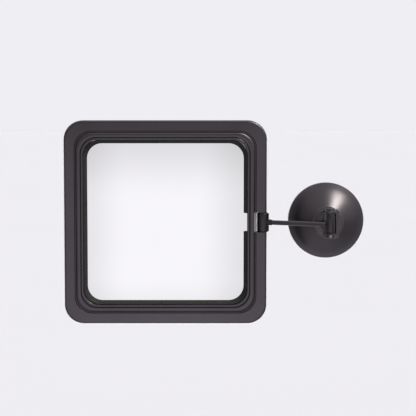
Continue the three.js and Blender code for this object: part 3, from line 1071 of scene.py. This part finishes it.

# Painted shade: the arm barrel takes the darkened gunmetal.
piece("arm_barrel_body", make_arm_barrel(), gunmetal_painted_shade, "arm_barrel")
piece("arm_rod_body", make_arm_rod(), gunmetal, "arm_rod")
piece(
    "knuckle_washer_upper",
    washer(PIVOT_R + 0.3, KNUCKLE_WASHER_R, UPPER_WASHER, Z, KNUCKLE + Z * (BARREL_TOP + 0.1)),
    nylon,
    "pivot_washer_upper",
)
piece(
    "knuckle_washer_lower",
    washer(PIVOT_R + 0.3, KNUCKLE_WASHER_R, LOWER_WASHER, Z, KNUCKLE + Z * (MOUTH_BOTTOM + 0.1)),
    nylon,
    "pivot_washer_lower",
)
piece(
    "rod_washer",
    washer(SPIGOT_R + 0.2, ROD_WASHER_R, ROD_WASHER, -ROD, HINGE - ROD * (BOSS_END + 0.1)),
    nylon,
    "tilt_washer",
)

# Painted shade: the hinge barrel takes the darkened gunmetal.
piece("hinge_barrel", make_pivot_barrel(), gunmetal_painted_shade, "pivot_barrel")
piece("tilt_locking_screw", make_tilt_grub_screw(), steel, "tilt_grub_screw")

piece("hinge_pin_body", make_hinge_pin(), steel, "hinge_pin")
piece(
    "hinge_washer_upper",
    washer(PIN_R + 0.2, HINGE_WASHER_R, HINGE_WASHER, Z, HINGE + Z * (PIVOT_BARREL_HALF + 0.1)),
    nylon,
    "pin_washer_upper",
)
piece(
    "hinge_washer_lower",
    washer(PIN_R + 0.2, HINGE_WASHER_R, HINGE_WASHER, Z, HINGE - Z * (SLOT_HALF - 0.1)),
    nylon,
    "pin_washer_lower",
)
piece("frame_moulding", make_frame(), gunmetal, "mirror_frame")
piece("gasket_ring", make_gasket(), rubber, "glass_gasket")
glass = piece(
    "mirror_sheet", slab(GLASS_INSET, GLASS_FRONT, GLASS_BACK, 0.35), mirror_face, "mirror_glass"
)
piece("foam_sheet", slab(PAD_INSET, PAD_FRONT, PAD_BACK, 0.15), foam, "glass_pad")
# Painted shade: the spring strip takes the darkened steel.
piece("spring_strip", make_spring(), spring_steel_painted_shade, "friction_spring", sharp=20)
piece("spring_screw_top", make_spring_screw(SPRING_SCREW_Z), steel, "spring_screw_upper")
piece("spring_screw_bottom", make_spring_screw(-SPRING_SCREW_Z), steel, "spring_screw_lower")
piece("back_panel", make_cover(), gunmetal, "back_cover")
for corner, side_x, side_z in cover_corners:
    piece("panel_screw_" + corner, make_cover_screw(side_x, side_z), steel, "cover_screw_" + corner)

# The sheet's front is silvered; its ground edge and back are painted.
glass.data.materials.append(backing_paint)
for polygon in glass.data.polygons:
    if polygon.normal.y > -0.9:
        polygon.material_index = 1

# ---- Floor, light and camera, in metres ----

FLOOR_Z = -0.55
FLOOR_HALF = 30.0
PALE = (0.863, 0.855, 0.896)
ROOM_WHITE = (0.99, 0.98, 1.0)
LAMP_WHITE = (0.98, 1.0, 0.87)
LAMP_TOWARDS = (0.482, -0.455, 0.749)
LAMP_POWER = 16.0
LAMP_EDGE = math.cos(math.radians(14))
LAMP_CORE = math.cos(math.radians(5))
CARD_EDGE = math.cos(math.radians(46))
CARD_CORE = math.cos(math.radians(16))
CAMERA_AT = (-0.1185, -1.346, 0.1183)
CAMERA_DIP = 4.515
CAMERA_LENS = 115.87


def make_floor():
    """A plain pale floor, which glossy surfaces don't reflect."""
    bm = bmesh.new()
    corners = [(-1, -1), (1, -1), (1, 1), (-1, 1)]
    bm.faces.new([bm.verts.new((x * FLOOR_HALF, y * FLOOR_HALF, FLOOR_Z)) for x, y in corners])
    mesh = bpy.data.meshes.new("floor")
    bm.to_mesh(mesh)
    bm.free()
    material, tree, shader = new_material("floor_paint", "")
    shader.inputs["Roughness"].default_value = 1.0
    shader.inputs["Specular IOR Level"].default_value = 0.0
    paint = two_tone(tree, noise(tree, 0.8), (0.829, 0.815, 0.891), (0.835, 0.821, 0.897))
    tree.links.new(paint, shader.inputs["Base Color"])
    mesh.materials.append(material)
    floor = bpy.data.objects.new("floor", mesh)
    scene.collection.objects.link(floor)
    floor.visible_glossy = False


class WorldNodes:
    """Small helpers for the sky's node tree."""

    def __init__(self, tree):
        self.tree = tree
        place = tree.nodes.new("ShaderNodeTexCoord")
        self.direction = place.outputs["Generated"]

    def towards(self, direction):
        """How far the sky direction points along a given one: the cosine between them."""
        node = self.tree.nodes.new("ShaderNodeVectorMath")
        node.operation = "DOT_PRODUCT"
        node.inputs[1].default_value = Vector(direction).normalized()
        self.tree.links.new(self.direction, node.inputs[0])
        return node.outputs["Value"]

    def ramp(self, value, start, end, low, high):
        """A smooth step from low to high as the value goes from start to end."""
        node = self.tree.nodes.new("ShaderNodeMapRange")
        node.interpolation_type = "SMOOTHSTEP"
        node.inputs["From Min"].default_value = start
        node.inputs["From Max"].default_value = end
        node.inputs["To Min"].default_value = low
        node.inputs["To Max"].default_value = high
        self.tree.links.new(value, node.inputs["Value"])
        return node.outputs["Result"]

    def maths(self, operation, a, b=0.0):
        """A maths node on two values, each a number or another node's output."""
        node = self.tree.nodes.new("ShaderNodeMath")
        node.operation = operation
        for socket, value in zip(node.inputs, (a, b)):
            if isinstance(value, (int, float)):
                socket.default_value = value
            else:
                self.tree.links.new(value, socket)
        return node.outputs["Value"]

    def product(self, first, *others):
        result = first
        for other in others:
            result = self.maths("MULTIPLY", result, other)
        return result

    def background(self, colour, strength=1.0):
        """A background shader whose strength is a number or another node's output."""
        node = self.tree.nodes.new("ShaderNodeBackground")
        node.inputs["Color"].default_value = (*colour, 1)
        if isinstance(strength, (int, float)):
            node.inputs["Strength"].default_value = strength
        else:
            self.tree.links.new(strength, node.inputs["Strength"])
        return node.outputs["Background"]


def card_brightness(sky, height):
    """A white card in front of the mirror, fading upwards and a little towards both sides."""
    across = sky.towards((1, 0, 0))
    off_centre = sky.maths("ABSOLUTE", sky.maths("ADD", across, 0.034))
    return sky.product(
        sky.ramp(height, -0.075, -0.02, 0.98, 0.75),
        sky.ramp(height, -0.02, 0.15, 1.0, 0.36),
        sky.ramp(height, -0.128, -0.165, 1.0, 0.86),
        sky.ramp(height, -0.18, -0.32, 1.0, 1.6),
        sky.ramp(off_centre, 0.025, 0.065, 1.0, 0.82),
    )


def room_brightness(sky, height):
    """A darker room, lighter overhead and underfoot and darkest at its two sides."""
    overhead = sky.ramp(height, 0.35, 0.85, 0.42, 0.58)
    underfoot = sky.ramp(height, -0.5, -0.9, 0.0, 0.1)
    return sky.product(
        sky.maths("ADD", overhead, underfoot),
        sky.ramp(sky.towards((-1, -0.3, 0.05)), 0.75, 0.98, 1.0, 0.72),
        sky.ramp(sky.towards((1, -0.3, -0.4)), 0.5, 0.95, 1.0, 0.78),
    )


def make_world():
    """The card in its room, brighter behind the mirror, with a lamp. The camera sees only PALE."""
    world = bpy.data.worlds.new("studio")
    scene.world = world
    world.use_nodes = True
    tree = world.node_tree
    tree.nodes.clear()
    sky = WorldNodes(tree)
    height = sky.towards((0, 0, 1))
    room = room_brightness(sky, height)
    in_card = sky.ramp(sky.towards((0, -1, 0)), CARD_EDGE, CARD_CORE, 0.0, 1.0)
    above_room = sky.maths("SUBTRACT", card_brightness(sky, height), room)
    level = sky.maths("ADD", room, sky.product(in_card, above_room))
    behind = sky.ramp(sky.towards((0, 1, 0)), -0.1, 0.4, 0.0, 0.3)
    studio = sky.background(ROOM_WHITE, sky.maths("ADD", level, behind))
    # A round soft lamp, up and to the right, and its warm glow on that side of the room.
    disc = sky.ramp(sky.towards(LAMP_TOWARDS), LAMP_EDGE, LAMP_CORE, 0, LAMP_POWER)
    glow = sky.ramp(sky.towards((0.75, -0.45, 0.42)), 0.79, 0.99, 0.0, 0.34)
    lamp = sky.background(LAMP_WHITE, sky.maths("ADD", disc, glow))
    lit = tree.nodes.new("ShaderNodeAddShader")
    tree.links.new(studio, lit.inputs[0])
    tree.links.new(lamp, lit.inputs[1])
    path = tree.nodes.new("ShaderNodeLightPath")
    mix = tree.nodes.new("ShaderNodeMixShader")
    output = tree.nodes.new("ShaderNodeOutputWorld")
    tree.links.new(path.outputs["Is Camera Ray"], mix.inputs["Fac"])
    tree.links.new(lit.outputs["Shader"], mix.inputs[1])
    tree.links.new(sky.background(PALE), mix.inputs[2])
    tree.links.new(mix.outputs["Shader"], output.inputs["Surface"])


def make_camera():
    """Almost square on to the mirror, from slightly above."""
    data = bpy.data.cameras.new("camera")
    data.sensor_width = 36
    data.lens = CAMERA_LENS
    data.clip_start = 0.05
    data.clip_end = 100
    camera = bpy.data.objects.new("camera", data)
    camera.location = CAMERA_AT
    camera.rotation_euler = (math.radians(90 - CAMERA_DIP), 0, 0)
    scene.collection.objects.link(camera)
    scene.camera = camera


make_floor()
make_world()
make_camera()
scene.view_settings.view_transform = "Standard"
